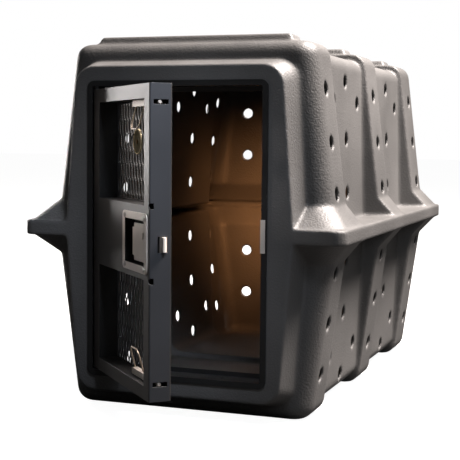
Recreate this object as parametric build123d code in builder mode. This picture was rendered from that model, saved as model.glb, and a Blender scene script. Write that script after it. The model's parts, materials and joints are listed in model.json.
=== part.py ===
"""Hard-sided pet transport carrier with a swinging metal door.

The carrier stands on its feet with +Z up, its door faces -Y and the origin is at the middle of its
footprint on the floor. All sizes are in millimetres. The door is modelled in its own frame (u along the
door from the hinge axis, v through its thickness towards the cabin, z up) and stands open.
"""
import os
from math import cos, radians, sin, tan

from build123d import *

# Shell: overall sizes
length = 985.0            # over the belt flange, front to back
belt_half = 324.7         # half the width over the belt flange
body_height = 711.0       # floor to the top of the ribs
wall = 6.0                # thickness of the moulded plastic
belt_bottom = 338.0
belt_thickness = 29.0
belt_corner = 25.0
flare_wall_share = 1.35   # wall of the flares measured level, against the wall's thickness
cut_past = 1.0            # how far a cut runs past the face that it starts at

# Shell: rib faces, half widths at four heights
rib_half_bottom = 243.5
rib_half_low_flare = 283.9
rib_half_high_flare = 283.3
rib_half_top = 245.3
flare_height = 40.0       # height of the flare above and below the belt
flare_lip = 5.7           # how far the flare stops short of the belt's edge
body_corner = 40.0        # radius of the upright corners
edge_radius = 30.0        # radius of the top and bottom edges

# Shell: the recessed panels between the ribs
core_half_end = 240.0     # half width of the panels at the top and the bottom
core_half_belt = 252.5    # half width of the panels at the belt
core_drop = 13.0          # how far the panels lie below the ribs on the top and the bottom
rib_draft = 16.0          # slope of the sides of the ribs, in degrees
front_wall = 55.0         # depth of the front wall behind the surround's face
back_wall = 30.0          # how far the back wall lies inside the belt
rib_centres = (112.5, 499.0, 888.0)   # measured from the surround's face
rib_widths = (115.0, 100.0, 134.0)

# Shell: raised surround of the door
surround_half_top = 206.0
surround_half_belt = 229.4
surround_half_bottom = 204.6
surround_top = 663.6
surround_bottom = 41.4
surround_corner = 40.0
surround_draft = 15.0     # growth of the surround from its face to the front wall

# Shell: stacking pads and vent holes
pad_half = 203.0
pad_depth = 70.0
pad_height = 14.0
pad_draft = 25.0          # slope of the pads' sides, in degrees
vent_dia = 24.0
rib_vent_heights = (83.4, 181.3, 278.3, 426.5, 522.9, 622.7)
panel_vent_heights = (47.0, 175.0, 287.0, 421.0, 529.0, 645.0)
panel_side_vent_heights = (98.0, 604.0)
panel_side_vent_offset = 95.0
back_vent_heights = (117.0, 229.0, 486.0, 597.0)
back_vent_places = (-190.0, -63.0, 63.0, 190.0)

# Door frame
doorway_half = 170.0      # half the clear width between the jambs
doorway_bottom = 82.0
doorway_height = 543.0
doorway_corner = 3.0
jamb_wall = 4.0
jamb_depth = 62.0
lip_width = 10.8          # how far the lip reaches past the doorway
lip_thickness = 3.0
stop_width = 9.0          # how far the stop bead reaches into the doorway
stop_thickness = 3.0
stop_gap = 2.0            # between the closed door and the stop bead
ring_corner_least = 1.0   # smallest corner radius of the frame's rings
frame_fit = 0.3           # clearance between the jamb and the opening in the shell
retainer_width = 18.0
retainer_depth = 22.0
frame_screw_dia = 5.0
frame_screw_head_dia = 9.0
frame_screw_head_depth = 2.5
frame_screw_heights = (150.0, 277.0, 431.0, 560.0)
frame_screw_places = (-90.0, 90.0)

# Door
door_angle = 47.3         # how far the door stands open, in degrees
door_thickness = 39.0
door_sheet = 2.0
hinge_inset = 7.0         # hinge axis from the left jamb
hinge_depth = 4.0         # hinge axis behind the surround's face
door_lead = 6.4           # the door's outer face in front of the hinge axis
door_gap_hinge = 1.5
door_gap_free = 3.5
door_gap_vertical = 6.0
door_corner = 3.0         # fold radius of the door's edges
hinge_corner = 5.0        # radius of the outer edge beside the hinge
hinge_stile = 41.5        # width of the face beside the hinge
free_stile = 27.5         # width of the face beside the latch
top_rail = 25.0
bottom_rail = 23.5
middle_bottom = 291.0     # middle panel, from the floor
middle_top = 416.0
notch_radius = 5.0        # relief at the fold, level with the middle panel's ends
notch_depth = 8.0

# Mesh panels
mesh_sheet = 2.0
mesh_border = 9.0
slot_length = 38.0
slot_width = 8.5
slot_pitch = 16.0         # between neighbouring slots of a row
slot_row = 27.0           # between neighbouring rows, which are staggered
slot_margin = 2.0         # plain sheet left inside the window
slot_least = 6.0          # shortest part of a slot that is cut at the window's ends

# Hinge
hinge_pin_dia = 6.0
hinge_clearance = 0.06
bush_outer = 10.0
bush_length = 18.0
bush_play = 0.3           # between the bush's collar and the frame
pin_seat = 3.0            # how far a hinge pin reaches into the frame

# Paddle latch
latch_height = 352.0      # centre of the latch and of its bolt, from the floor
latch_edge_gap = 74.5     # centre of the latch from the door's free edge
pan_width = 134.0
pan_height = 102.0
pan_corner = 10.0
pan_flange = 2.0
pan_sheet = 1.5
pan_opening_width = 105.0
pan_opening_height = 76.0
pan_bolt_gap = 3.9        # between the pan and the bolt behind it
latch_screw_dia = 5.0
latch_screw_head = 9.0
latch_screw_places = (53.0, 43.0)
paddle_width = 62.0
paddle_height = 64.0
paddle_thickness = 3.0
paddle_notch = 8.0
paddle_pivot = 7.5        # from the pan opening's free side to the paddle's pin
paddle_pin_depth = 3.9    # of the pin's axis behind the door's face
paddle_barrel = 8.0
paddle_pin_dia = 4.0
paddle_tail_thickness = 3.0
paddle_tail_height = 10.0
paddle_tail_past = 1.0    # how far the tail reaches past the bolt's centre
paddle_plate_set = 1.0    # front of the plate behind the front of its barrel
paddle_spring_space = 12.0
paddle_spring_wire = 1.2
paddle_spring_pitch = 1.3  # spacing of the spring's turns against its wire
bolt_thickness = 8.0
bolt_height = 25.0
bolt_length = 46.0
bolt_throw = 8.0          # how far the latch bolt stands out of the door
bolt_back_gap = 13.1      # centre of the bolt in front of the door's back
bolt_slot_reach = (11.0, 6.8)  # the slot in the door's edge, to either side of the bolt's centre
bolt_slot_gap = 1.0       # above and below the bolt in that slot
bolt_notch_width = 9.0
bolt_notch_depth = 6.0
bolt_notch_height = 14.0
bolt_bevel = 5.0
bolt_clearance = 0.4
guide_wall = 2.5
guide_length = 18.0

# Slide bolts
slide_dia = 7.0
slide_depth = 12.5        # centre of the rod behind the hinge axis
slide_clearance = 0.4
slide_throw = 14.0
slide_recess = 1.0        # the rod's tip inside the door's edge at rest
slide_size = 11.0         # height and thickness of the head
slide_edge = 1.0          # rounding of the head's corners and chamfer of the rod's tip
slide_guide_length = 66.0
slide_head_length = 90.0
slide_head_gap = 2.0      # left between the head and the window's side at full throw
slide_slot_front = 12.0   # the slot in the door's edge, in front of the rod's centre
slide_slot_back = 6.2     # the same slot's far end in front of the door's back
slide_margin = 0.3        # between the head and the window's edge
loop_wire = 3.0
loop_width = 48.0
loop_length = 42.0
loop_corner = 14.0
loop_set = 2.0            # from the end of the head to the loop
loop_tilt = 15.0           # lean towards the outside, in degrees

# Strike and badge
strike_length = 61.0
strike_lip = 8.0
strike_stop_gap = 4.6     # between the strike plate and the frame's stop bead
strike_head_sink = 0.5    # how far its screw heads reach into the frame
strike_sheet = 1.2
strike_screw_dia = 4.0
strike_screw_head_dia = 7.0
strike_screw_spacing = 46.0
badge_dia = 46.0
badge_thickness = 3.0
badge_height = 522.0
badge_edge_gap = 164.5     # from the door's free edge
badge_rivet_dia = 5.0
badge_rivet_head = 8.0

# Worked out from the sizes above
front = -length / 2
belt_top = belt_bottom + belt_thickness
core_front = front + front_wall
core_back = front + length - back_wall
doorway_top = doorway_bottom + doorway_height
doorway_middle = doorway_bottom + doorway_height / 2
axis_x = -doorway_half + hinge_inset
axis_y = front + hinge_depth
door_left = door_gap_hinge - hinge_inset
door_right = 2 * doorway_half - hinge_inset - door_gap_free
door_bottom = doorway_bottom + door_gap_vertical
door_top = doorway_top - door_gap_vertical
door_back = door_thickness - door_lead
window_left = door_left + hinge_stile
window_right = door_right - free_stile
windows = {"lower": (door_bottom + bottom_rail, middle_bottom), "upper": (middle_top, door_top - top_rail)}
slide_heights = {
    "lower": windows["lower"][0] + slide_size / 2 + slide_margin,
    "upper": windows["upper"][1] - slide_size / 2 - slide_margin,
}
bolt_depth = door_back - bolt_back_gap
bolt_slot = (bolt_depth - bolt_slot_reach[0], bolt_depth + bolt_slot_reach[1])
latch_centre = door_right - latch_edge_gap
pan_depth = door_lead + bolt_depth - bolt_thickness / 2 - pan_bolt_gap
slide_slot = (slide_depth - slide_slot_front, door_back - slide_slot_back)
strike_depth = hinge_depth + door_back + stop_gap - strike_stop_gap
badge_place = door_right - badge_edge_gap

os.makedirs("parts", exist_ok=True)


def finish(piece, name):
    """Label a finished piece and write it to its own file."""
    piece.part.label = name
    export_step(piece.part, f"parts/{name}.step")


# Planes of the carrier and of the door

def floor_plane(z):
    """Level plane at height z, with x across and y to the back."""
    return Plane.XY.offset(z)


def front_plane(depth):
    """Upright plane at a depth behind the surround's face, looking out of the front."""
    return Plane(origin=(0, front + depth, 0), x_dir=(1, 0, 0), z_dir=(0, -1, 0))


def side_plane(x):
    """Upright plane across the carrier, with y to the back and z up."""
    return Plane(origin=(x, 0, 0), x_dir=(0, 1, 0), z_dir=(1, 0, 0))


def door_directions():
    """The door's u and v directions in the carrier's frame."""
    turn = radians(door_angle)
    return Vector(cos(turn), -sin(turn), 0), Vector(sin(turn), cos(turn), 0)


def door_point(u, v, z):
    """A point of the open door in the carrier's frame."""
    along, through = door_directions()
    return Vector(axis_x, axis_y, z) + along * u + through * v


def door_face_plane(v):
    """Plane parallel to the door's face, with local x along u and local y up, looking outwards."""
    along, through = door_directions()
    return Plane(origin=door_point(0, v, 0), x_dir=along, z_dir=through * -1)


def door_edge_plane(u):
    """Plane across the door's edge, with local x along v and local y up, looking along u."""
    along, through = door_directions()
    return Plane(origin=door_point(u, 0, 0), x_dir=through, z_dir=along)


def door_level_plane(z):
    """Level plane in the door, with local x along u and local y along v."""
    along, _ = door_directions()
    return Plane(origin=door_point(0, 0, z), x_dir=along, z_dir=(0, 0, 1))


# Shapes that several pieces share. Each works on the part that is being built around it.

def slab(plane, x_range, y_range, depth, radius=0.0, mode=Mode.ADD):
    """Extrude a rectangle between two corners of a plane, with rounded corners if asked."""
    width = x_range[1] - x_range[0]
    height = y_range[1] - y_range[0]
    with BuildSketch(plane) as outline:
        with Locations(((x_range[0] + x_range[1]) / 2, (y_range[0] + y_range[1]) / 2)):
            if radius > 0:
                RectangleRounded(width, height, radius)
            else:
                Rectangle(width, height)
    extrude(outline.sketch, amount=depth, mode=mode)


def rod(plane, places, dia, depth, mode=Mode.ADD):
    """Extrude a round bar of one diameter at each place on a plane."""
    with BuildSketch(plane) as outline:
        with Locations(*places):
            Circle(dia / 2)
    extrude(outline.sketch, amount=depth, mode=mode)


# Shell

def rib_half(z):
    """Half width over the rib faces at a height, without the flares."""
    if z > belt_top:
        share = (z - belt_top - flare_height) / (body_height - belt_top - flare_height)
        return rib_half_high_flare + share * (rib_half_top - rib_half_high_flare)
    share = (belt_bottom - flare_height - z) / (belt_bottom - flare_height)
    return rib_half_low_flare + share * (rib_half_bottom - rib_half_low_flare)


def core_half(z):
    """Half width over the recessed panels at a height."""
    span = body_height - belt_top if z > belt_top else belt_bottom
    away = z - belt_top if z > belt_top else belt_bottom - z
    return core_half_belt + away / span * (core_half_end - core_half_belt)


def level_loft(sections, radius):
    """Loft rounded rectangles given as (height, half width, front, back)."""
    outlines = []
    for height, half, near, far in sections:
        with BuildSketch(floor_plane(height)) as outline:
            with Locations((0, (near + far) / 2)):
                RectangleRounded(2 * half, far - near, radius)
        outlines.append(outline.sketch)
    loft(outlines, ruled=True)


def hull(inset):
    """The body over its ribs, with the flares that run out to the belt, drawn in by an inset."""
    flare_inset = flare_wall_share * inset
    near, far = core_front + inset, core_back - inset
    belt_near, belt_far = front + flare_lip + flare_inset, front + length - flare_lip - flare_inset
    belt_reach = belt_half - flare_lip - flare_inset
    low, high = belt_bottom - flare_height, belt_top + flare_height
    with BuildPart() as body:
        level_loft([
            (inset, rib_half_bottom - inset, near, far),
            (low, rib_half_low_flare - inset, near, far),
            (belt_bottom, belt_reach, belt_near, belt_far)], body_corner - inset)
        fillet(body.faces().sort_by(Axis.Z)[0].edges(), edge_radius - inset)
        level_loft([
            (belt_bottom, belt_reach, belt_near, belt_far),
            (belt_top, belt_reach, belt_near, belt_far)], body_corner - inset)
        level_loft([
            (belt_top, belt_reach, belt_near, belt_far),
            (high, rib_half_high_flare - inset, near, far),
            (body_height - inset, rib_half_top - inset, near, far)], body_corner - inset)
        fillet(body.faces().sort_by(Axis.Z)[-1].edges(), edge_radius - inset)
    return body.part


def core(inset):
    """The body over its recessed panels, drawn in by an inset."""
    near, far = core_front + inset, core_back - inset
    with BuildPart() as body:
        level_loft([
            (core_drop + inset, core_half_end - inset, near, far),
            (belt_bottom, core_half_belt - inset, near, far)], body_corner - inset)
        fillet(body.faces().sort_by(Axis.Z)[0].edges(), edge_radius - inset)
        level_loft([
            (belt_bottom, core_half_belt - inset, near, far),
            (belt_top, core_half_belt - inset, near, far)], body_corner - inset)
        level_loft([
            (belt_top, core_half_belt - inset, near, far),
            (body_height - core_drop - inset, core_half_end - inset, near, far)], body_corner - inset)
        fillet(body.faces().sort_by(Axis.Z)[-1].edges(), edge_radius - inset)
    return body.part


def slot_outline(z, near, far):
    """Plan of the space between two ribs at a height, with drafted sides and open ends."""
    reach = belt_half + wall
    deep = core_half(z) - wall
    grow = (reach - rib_half(z)) * tan(radians(rib_draft))
    shrink = (rib_half(z) - deep) * tan(radians(rib_draft))
    with BuildSketch(floor_plane(z)) as plan:
        with BuildLine():
            Polyline(
                (-reach, near - grow), (-deep, near + shrink), (deep, near + shrink), (reach, near - grow),
                (reach, far + grow), (deep, far - shrink), (-deep, far - shrink), (-reach, far + grow),
                close=True)
        make_face()
    return plan.sketch


def rib_gaps(inset):
    """The spaces between neighbouring ribs over the whole height, widened by an inset on each side."""
    widen = inset / cos(radians(rib_draft))
    with BuildPart() as gaps:
        for rib in range(len(rib_centres) - 1):
            near = front + rib_centres[rib] + rib_widths[rib] / 2 - widen
            far = front + rib_centres[rib + 1] - rib_widths[rib + 1] / 2 + widen
            low, high = belt_bottom - flare_height, belt_top + flare_height
            loft([slot_outline(-cut_past, near, far), slot_outline(low, near, far)], ruled=True)
            loft([slot_outline(high, near, far), slot_outline(body_height + cut_past, near, far)], ruled=True)
            with BuildSketch(floor_plane(low)) as plan:
                add(slot_outline(low, near, far).moved(Location((0, 0, -low))))
            extrude(plan.sketch, amount=high - low)
    return gaps.part


def surround(inset):
    """The raised surround of the doorway, drawn in by an inset."""
    outlines = []
    for depth, grow in ((0.0, 0.0), (front_wall + 2 * wall, surround_draft)):
        at = depth if depth > 0 else inset
        size = grow - inset
        with BuildSketch(front_plane(at)) as outline:
            with BuildLine():
                Polyline(
                    (surround_half_top + size, surround_top + size),
                    (-surround_half_top - size, surround_top + size),
                    (-surround_half_belt - size, (belt_bottom + belt_top) / 2),
                    (-surround_half_bottom - size, surround_bottom - size),
                    (surround_half_bottom + size, surround_bottom - size),
                    (surround_half_belt + size, (belt_bottom + belt_top) / 2),
                    close=True)
            make_face()
            top_and_bottom = outline.vertices().group_by(Axis.Z)
            fillet(top_and_bottom[0] + top_and_bottom[-1], surround_corner - inset)
        outlines.append(outline.sketch)
    with BuildPart() as body:
        loft(outlines, ruled=True)
    return body.part


def shell_form(inset):
    """The whole moulded form drawn in by an inset: 0 is the outside and the wall is the inside."""
    with BuildPart() as form:
        add(hull(inset))
        add(rib_gaps(inset), mode=Mode.SUBTRACT)
        add(core(inset))
        slab(
            floor_plane(belt_bottom + inset), (-belt_half + inset, belt_half - inset),
            (front + inset, front + length - inset), belt_thickness - 2 * inset, belt_corner - inset)
        add(surround(inset))
        for centre in rib_centres:
            middle = front + centre
            with BuildSketch(floor_plane(body_height - wall)) as foot:
                with Locations((0, middle)):
                    Rectangle(2 * (pad_half - inset), pad_depth - 2 * inset)
            extrude(foot.sketch, amount=wall + pad_height - inset, taper=pad_draft)
    return form.part


def side_vents():
    """Places of the vent holes in the sides, as (distance to the back, height)."""
    places = [(front + centre, height) for centre in rib_centres for height in rib_vent_heights]
    for rib in range(len(rib_centres) - 1):
        near = rib_centres[rib] + rib_widths[rib] / 2
        far = rib_centres[rib + 1] - rib_widths[rib + 1] / 2
        middle = front + (near + far) / 2
        places += [(middle, height) for height in panel_vent_heights]
        for height in panel_side_vent_heights:
            places += [(middle - panel_side_vent_offset, height), (middle + panel_side_vent_offset, height)]
    return places


with BuildPart() as shell:
    add(shell_form(0))
    add(shell_form(wall), mode=Mode.SUBTRACT)
    opening_half = doorway_half + jamb_wall + frame_fit
    slab(
        front_plane(-cut_past), (-opening_half, opening_half),
        (doorway_bottom - jamb_wall - frame_fit, doorway_top + jamb_wall + frame_fit),
        -(wall + 2 * cut_past), doorway_corner + jamb_wall, mode=Mode.SUBTRACT)
    rod(side_plane(-belt_half), side_vents(), vent_dia, 2 * belt_half, mode=Mode.SUBTRACT)
    back_vents = [(place, height) for place in back_vent_places for height in back_vent_heights]
    rod(front_plane(length - 2 * back_wall), back_vents, vent_dia, -2 * back_wall, mode=Mode.SUBTRACT)
finish(shell, "shell")


# Door frame, its retainer and fasteners
def ring(depth_range, grow_out, grow_in):
    """Make a ring around the doorway between two distances from its clear opening."""
    near, far = depth_range
    x_out, x_in = doorway_half + grow_out, doorway_half + grow_in
    z_out = (doorway_bottom - grow_out, doorway_top + grow_out)
    z_in = (doorway_bottom - grow_in, doorway_top + grow_in)
    corner_out, corner_in = doorway_corner + grow_out, doorway_corner + grow_in
    with BuildSketch(front_plane(near)) as outline:
        with Locations((0, doorway_middle)):
            RectangleRounded(2 * x_out, z_out[1] - z_out[0], max(corner_out, ring_corner_least))
            RectangleRounded(
                2 * x_in, z_in[1] - z_in[0], max(corner_in, ring_corner_least), mode=Mode.SUBTRACT)
    extrude(outline.sketch, amount=near - far)


def keeper_pockets():
    """Cut the pockets that the latch bolt and the two slide bolts enter in the right jamb."""
    jamb = side_plane(doorway_half - strike_sheet)
    reach = jamb_wall + bolt_throw
    half_thick = bolt_thickness / 2 + 2 * bolt_clearance
    half_tall = bolt_height / 2 + 2 * bolt_clearance
    bolt_y = axis_y + bolt_depth
    slab(
        jamb, (bolt_y - half_thick, bolt_y + half_thick),
        (latch_height - half_tall, latch_height + half_tall), reach, mode=Mode.SUBTRACT)
    holes = [(axis_y + slide_depth, height) for height in slide_heights.values()]
    rod(jamb, holes, slide_dia + 4 * slide_clearance, slide_throw + jamb_wall, mode=Mode.SUBTRACT)


def frame_screw_shapes(mode):
    """Countersunk screws through all four sides of the frame into the retainer."""
    middle = front + wall + retainer_depth / 2
    shank = jamb_wall + retainer_width / 2
    upright = [(middle, height) for height in frame_screw_heights]
    level = [(place, middle) for place in frame_screw_places]
    for side in (-1, 1):
        jamb = side_plane(side * doorway_half)
        rod(jamb, upright, frame_screw_dia, side * shank, mode=mode)
        rod(jamb, upright, frame_screw_head_dia, side * frame_screw_head_depth, mode=mode)
    for side, height in ((-1, doorway_bottom), (1, doorway_top)):
        rod(floor_plane(height), level, frame_screw_dia, side * shank, mode=mode)
        rod(floor_plane(height), level, frame_screw_head_dia, side * frame_screw_head_depth, mode=mode)


def hinge_pin_shape(side, mode):
    """A hinge pin at the sill (side -1) or the head (side 1) of the doorway."""
    seat = (doorway_bottom if side < 0 else doorway_top) + side * pin_seat
    reach = pin_seat + door_gap_vertical + bush_length - 2 * bush_play
    rod(floor_plane(seat), [(axis_x, axis_y)], hinge_pin_dia, -side * reach, mode=mode)


def strike_screw_shapes(grow, mode):
    """The two countersunk screws of the strike plate."""
    places = [
        (front + strike_depth / 4, latch_height + side * strike_screw_spacing / 2) for side in (-1, 1)]
    jamb = side_plane(doorway_half - strike_sheet)
    rod(jamb, places, strike_screw_dia, jamb_wall, mode=mode)
    rod(jamb, places, strike_screw_head_dia, strike_sheet + grow, mode=mode)


with BuildPart() as door_frame:
    ring((-lip_thickness, 0.0), lip_width, 0.0)
    ring((-lip_thickness, jamb_depth), jamb_wall, 0.0)
    stop_near = hinge_depth + door_back + stop_gap
    ring((stop_near, stop_near + stop_thickness), jamb_wall / 2, -stop_width)
    keeper_pockets()
    frame_screw_shapes(Mode.SUBTRACT)
    hinge_pin_shape(-1, Mode.SUBTRACT)
    hinge_pin_shape(1, Mode.SUBTRACT)
    strike_screw_shapes(strike_head_sink, Mode.SUBTRACT)
finish(door_frame, "door_frame")

with BuildPart() as frame_retainer:
    ring((wall, wall + retainer_depth), jamb_wall + retainer_width, jamb_wall)
    keeper_pockets()
    frame_screw_shapes(Mode.SUBTRACT)
finish(frame_retainer, "frame_retainer")

with BuildPart() as frame_screws:
    frame_screw_shapes(Mode.ADD)
finish(frame_screws, "frame_screws")

with BuildPart() as hinge_pin_lower:
    hinge_pin_shape(-1, Mode.ADD)
finish(hinge_pin_lower, "hinge_pin_lower")

with BuildPart() as hinge_pin_upper:
    hinge_pin_shape(1, Mode.ADD)
finish(hinge_pin_upper, "hinge_pin_upper")

with BuildPart() as strike_plate:
    strike_z = (latch_height - strike_length / 2, latch_height + strike_length / 2)
    slab(
        front_plane(-lip_thickness - strike_sheet), (doorway_half - strike_sheet, doorway_half + strike_lip),
        strike_z, -strike_sheet)
    slab(
        front_plane(-lip_thickness), (doorway_half - strike_sheet, doorway_half),
        strike_z, -lip_thickness - strike_depth)
    keeper_pockets()
    strike_screw_shapes(strike_head_sink, Mode.SUBTRACT)
finish(strike_plate, "strike_plate")

with BuildPart() as strike_screws:
    strike_screw_shapes(strike_head_sink, Mode.ADD)
finish(strike_screws, "strike_screws")


# Door

def door_slab(v_range, u_range, z_range, radius=0.0, mode=Mode.ADD):
    """A block of the door between two depths, with corners rounded in its face."""
    slab(door_face_plane(v_range[0]), u_range, z_range, v_range[0] - v_range[1], radius, mode)


def bush_shape(side, grow, mode):
    """Outside of a hinge bush in the bottom (side -1) or the top (side 1) of the door."""
    edge = door_bottom if side < 0 else door_top
    rod(door_level_plane(edge), [(0, 0)], bush_outer + grow, -side * bush_length, mode=mode)


with BuildPart() as door_shell:
    closed_depth = door_back - door_sheet
    door_slab((-door_lead, closed_depth), (door_left, door_right), (door_bottom, door_top))
    upright_edges = door_shell.edges().filter_by(Axis.Z)
    free_edges = upright_edges.sort_by(Axis((axis_x, axis_y, 0), tuple(door_directions()[0])))
    outward = Axis((axis_x, axis_y, 0), tuple(door_directions()[1] * -1))
    fillet(free_edges[2:].sort_by(outward)[-1], door_corner)
    upright_edges = door_shell.edges().filter_by(Axis.Z)
    hinge_edges = upright_edges.sort_by(Axis((axis_x, axis_y, 0), tuple(door_directions()[0])))[:2]
    fillet(hinge_edges.sort_by(outward)[-1], hinge_corner)
    inner_u = (door_left + door_sheet, door_right - door_sheet)
    inner_z = (door_bottom + door_sheet, door_top - door_sheet)
    door_slab((-door_lead + door_sheet, closed_depth), inner_u, inner_z, mode=Mode.SUBTRACT)
    for bottom, top in windows.values():
        tube_u = (window_left - door_sheet, window_right + door_sheet)
        tube_z = (bottom - door_sheet, top + door_sheet)
        mesh_front = closed_depth - mesh_sheet
        door_slab((-door_lead + door_sheet, mesh_front), tube_u, tube_z)
        door_slab((-door_lead, mesh_front), (window_left, window_right), (bottom, top), mode=Mode.SUBTRACT)
    pan_cut = (pan_opening_width / 2 + pan_sheet, pan_opening_height / 2 + pan_sheet)
    door_slab(
        (-door_lead, 0.0), (latch_centre - pan_cut[0], latch_centre + pan_cut[0]),
        (latch_height - pan_cut[1], latch_height + pan_cut[1]), mode=Mode.SUBTRACT)
    latch_screw_spots = [
        (latch_centre + right * latch_screw_places[0], latch_height + up * latch_screw_places[1])
        for right in (-1, 1) for up in (-1, 1)]
    rod(door_face_plane(-door_lead), latch_screw_spots, latch_screw_dia, -door_sheet, mode=Mode.SUBTRACT)
    slab(
        door_edge_plane(door_right), bolt_slot,
        (latch_height - bolt_height / 2 - bolt_slot_gap, latch_height + bolt_height / 2 + bolt_slot_gap),
        -door_sheet, mode=Mode.SUBTRACT)
    for height in slide_heights.values():
        slab(
            door_edge_plane(door_right), slide_slot,
            (height - slide_dia / 2 - slide_clearance, height + slide_dia / 2 + slide_clearance),
            -door_sheet, mode=Mode.SUBTRACT)
        rod(
            door_edge_plane(window_right), [(slide_depth, height)], slide_dia + 2 * slide_clearance,
            door_sheet, mode=Mode.SUBTRACT)
    bush_shape(-1, 0, Mode.SUBTRACT)
    bush_shape(1, 0, Mode.SUBTRACT)
    notches = [(door_right, middle_bottom), (door_right, middle_top)]
    rod(door_face_plane(-door_lead), notches, 2 * notch_radius, -notch_depth, mode=Mode.SUBTRACT)
finish(door_shell, "door_shell")

with BuildPart() as door_back_skin:
    door_slab((closed_depth, door_back), (door_left, door_right), (door_bottom, door_top))
    for bottom, top in windows.values():
        door_slab((closed_depth, door_back), (window_left, window_right), (bottom, top), mode=Mode.SUBTRACT)
finish(door_back_skin, "door_back_skin")


def mesh_slots(bottom, top):
    """Centres of the staggered slots over a window, from its lower to its upper edge."""
    width = window_right - window_left - 2 * slot_margin
    columns = int((width - slot_width) / (slot_pitch / 2)) + 1
    start = window_left + slot_margin + (width - (columns - 1) * slot_pitch / 2) / 2
    reach = (top - bottom) / 2 - slot_margin + slot_length / 2 - slot_least
    places = []
    for column in range(columns):
        shift = slot_row if column % 2 else 0.0
        rows = int((reach + shift) / (2 * slot_row))
        heights = [shift + 2 * row * slot_row for row in range(-rows - 1, rows + 2)]
        places += [
            (start + column * slot_pitch / 2, (top + bottom) / 2 + z) for z in heights if abs(z) <= reach]
    return places


def mesh_panel(bottom, top):
    """A flat panel with lens-shaped slots and a plain border that the door's back skin clamps."""
    door_slab(
        (mesh_front, closed_depth), (window_left - mesh_border, window_right + mesh_border),
        (bottom - mesh_border, top + mesh_border))
    with BuildSketch(door_face_plane(mesh_front)) as slots:
        with Locations(*mesh_slots(bottom, top)):
            add(lens)
        with Locations(((window_left + window_right) / 2, (bottom + top) / 2)):
            Rectangle(
                window_right - window_left - 2 * slot_margin, top - bottom - 2 * slot_margin,
                mode=Mode.INTERSECT)
    extrude(slots.sketch, amount=-mesh_sheet, mode=Mode.SUBTRACT)


with BuildSketch(mode=Mode.PRIVATE) as lens_outline:
    with BuildLine():
        ThreePointArc((0, -slot_length / 2), (slot_width / 2, 0), (0, slot_length / 2))
        ThreePointArc((0, slot_length / 2), (-slot_width / 2, 0), (0, -slot_length / 2))
    make_face()
lens = lens_outline.sketch

with BuildPart() as lower_mesh:
    mesh_panel(*windows["lower"])
finish(lower_mesh, "lower_mesh")

with BuildPart() as upper_mesh:
    mesh_panel(*windows["upper"])
    rod(
        door_face_plane(mesh_front), [(badge_place, badge_height)], badge_rivet_dia, -mesh_sheet,
        mode=Mode.SUBTRACT)
finish(upper_mesh, "upper_mesh")

for side, name in ((-1, "hinge_bush_lower"), (1, "hinge_bush_upper")):
    with BuildPart() as hinge_bush:
        bush_shape(side, 0, Mode.ADD)
        edge = door_bottom if side < 0 else door_top
        rod(door_level_plane(edge), [(0, 0)], bush_outer, side * (door_gap_vertical - bush_play))
        rod(
            door_level_plane(edge + side * door_gap_vertical), [(0, 0)],
            hinge_pin_dia + 2 * hinge_clearance, -side * (door_gap_vertical + bush_length),
            mode=Mode.SUBTRACT)
    finish(hinge_bush, name)


# Paddle latch

pan_u = (latch_centre - pan_opening_width / 2, latch_centre + pan_opening_width / 2)
pan_z = (latch_height - pan_opening_height / 2, latch_height + pan_opening_height / 2)
pan_front = -door_lead - pan_flange
pan_back = -door_lead + pan_depth
pin_u = pan_u[1] - paddle_pivot
pin_v = -door_lead + paddle_pin_depth
tail_reach = bolt_depth + paddle_tail_past - pin_v


def paddle_pin_shape(mode):
    """The paddle's pin, across the pan from wall to wall."""
    rod(
        door_level_plane(pan_z[0] - pan_sheet), [(pin_u, pin_v)], paddle_pin_dia,
        pan_opening_height + 2 * pan_sheet, mode=mode)


with BuildPart() as latch_pan:
    door_slab(
        (pan_front, -door_lead), (latch_centre - pan_width / 2, latch_centre + pan_width / 2),
        (latch_height - pan_height / 2, latch_height + pan_height / 2), pan_corner)
    door_slab(
        (-door_lead, pan_back), (pan_u[0] - pan_sheet, pan_u[1] + pan_sheet),
        (pan_z[0] - pan_sheet, pan_z[1] + pan_sheet))
    door_slab((pan_front, pan_back - pan_sheet), pan_u, pan_z, mode=Mode.SUBTRACT)
    door_slab(
        (pan_back - pan_sheet, pan_back),
        (pin_u - bolt_notch_width, pin_u + bolt_notch_width / 2),
        (latch_height - bolt_notch_height / 2, latch_height + bolt_notch_height / 2), mode=Mode.SUBTRACT)
    rod(door_face_plane(pan_front), latch_screw_spots, latch_screw_dia, -pan_flange, mode=Mode.SUBTRACT)
    paddle_pin_shape(Mode.SUBTRACT)
finish(latch_pan, "latch_pan")

with BuildPart() as latch_screws:
    rod(
        door_face_plane(pan_front), latch_screw_spots, latch_screw_dia,
        -(pan_flange + door_sheet + latch_screw_dia))
    rod(door_face_plane(pan_front), latch_screw_spots, latch_screw_head, latch_screw_head / 4)
finish(latch_screws, "latch_screws")

with BuildPart() as paddle_pin:
    paddle_pin_shape(Mode.ADD)
finish(paddle_pin, "paddle_pin")

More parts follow.
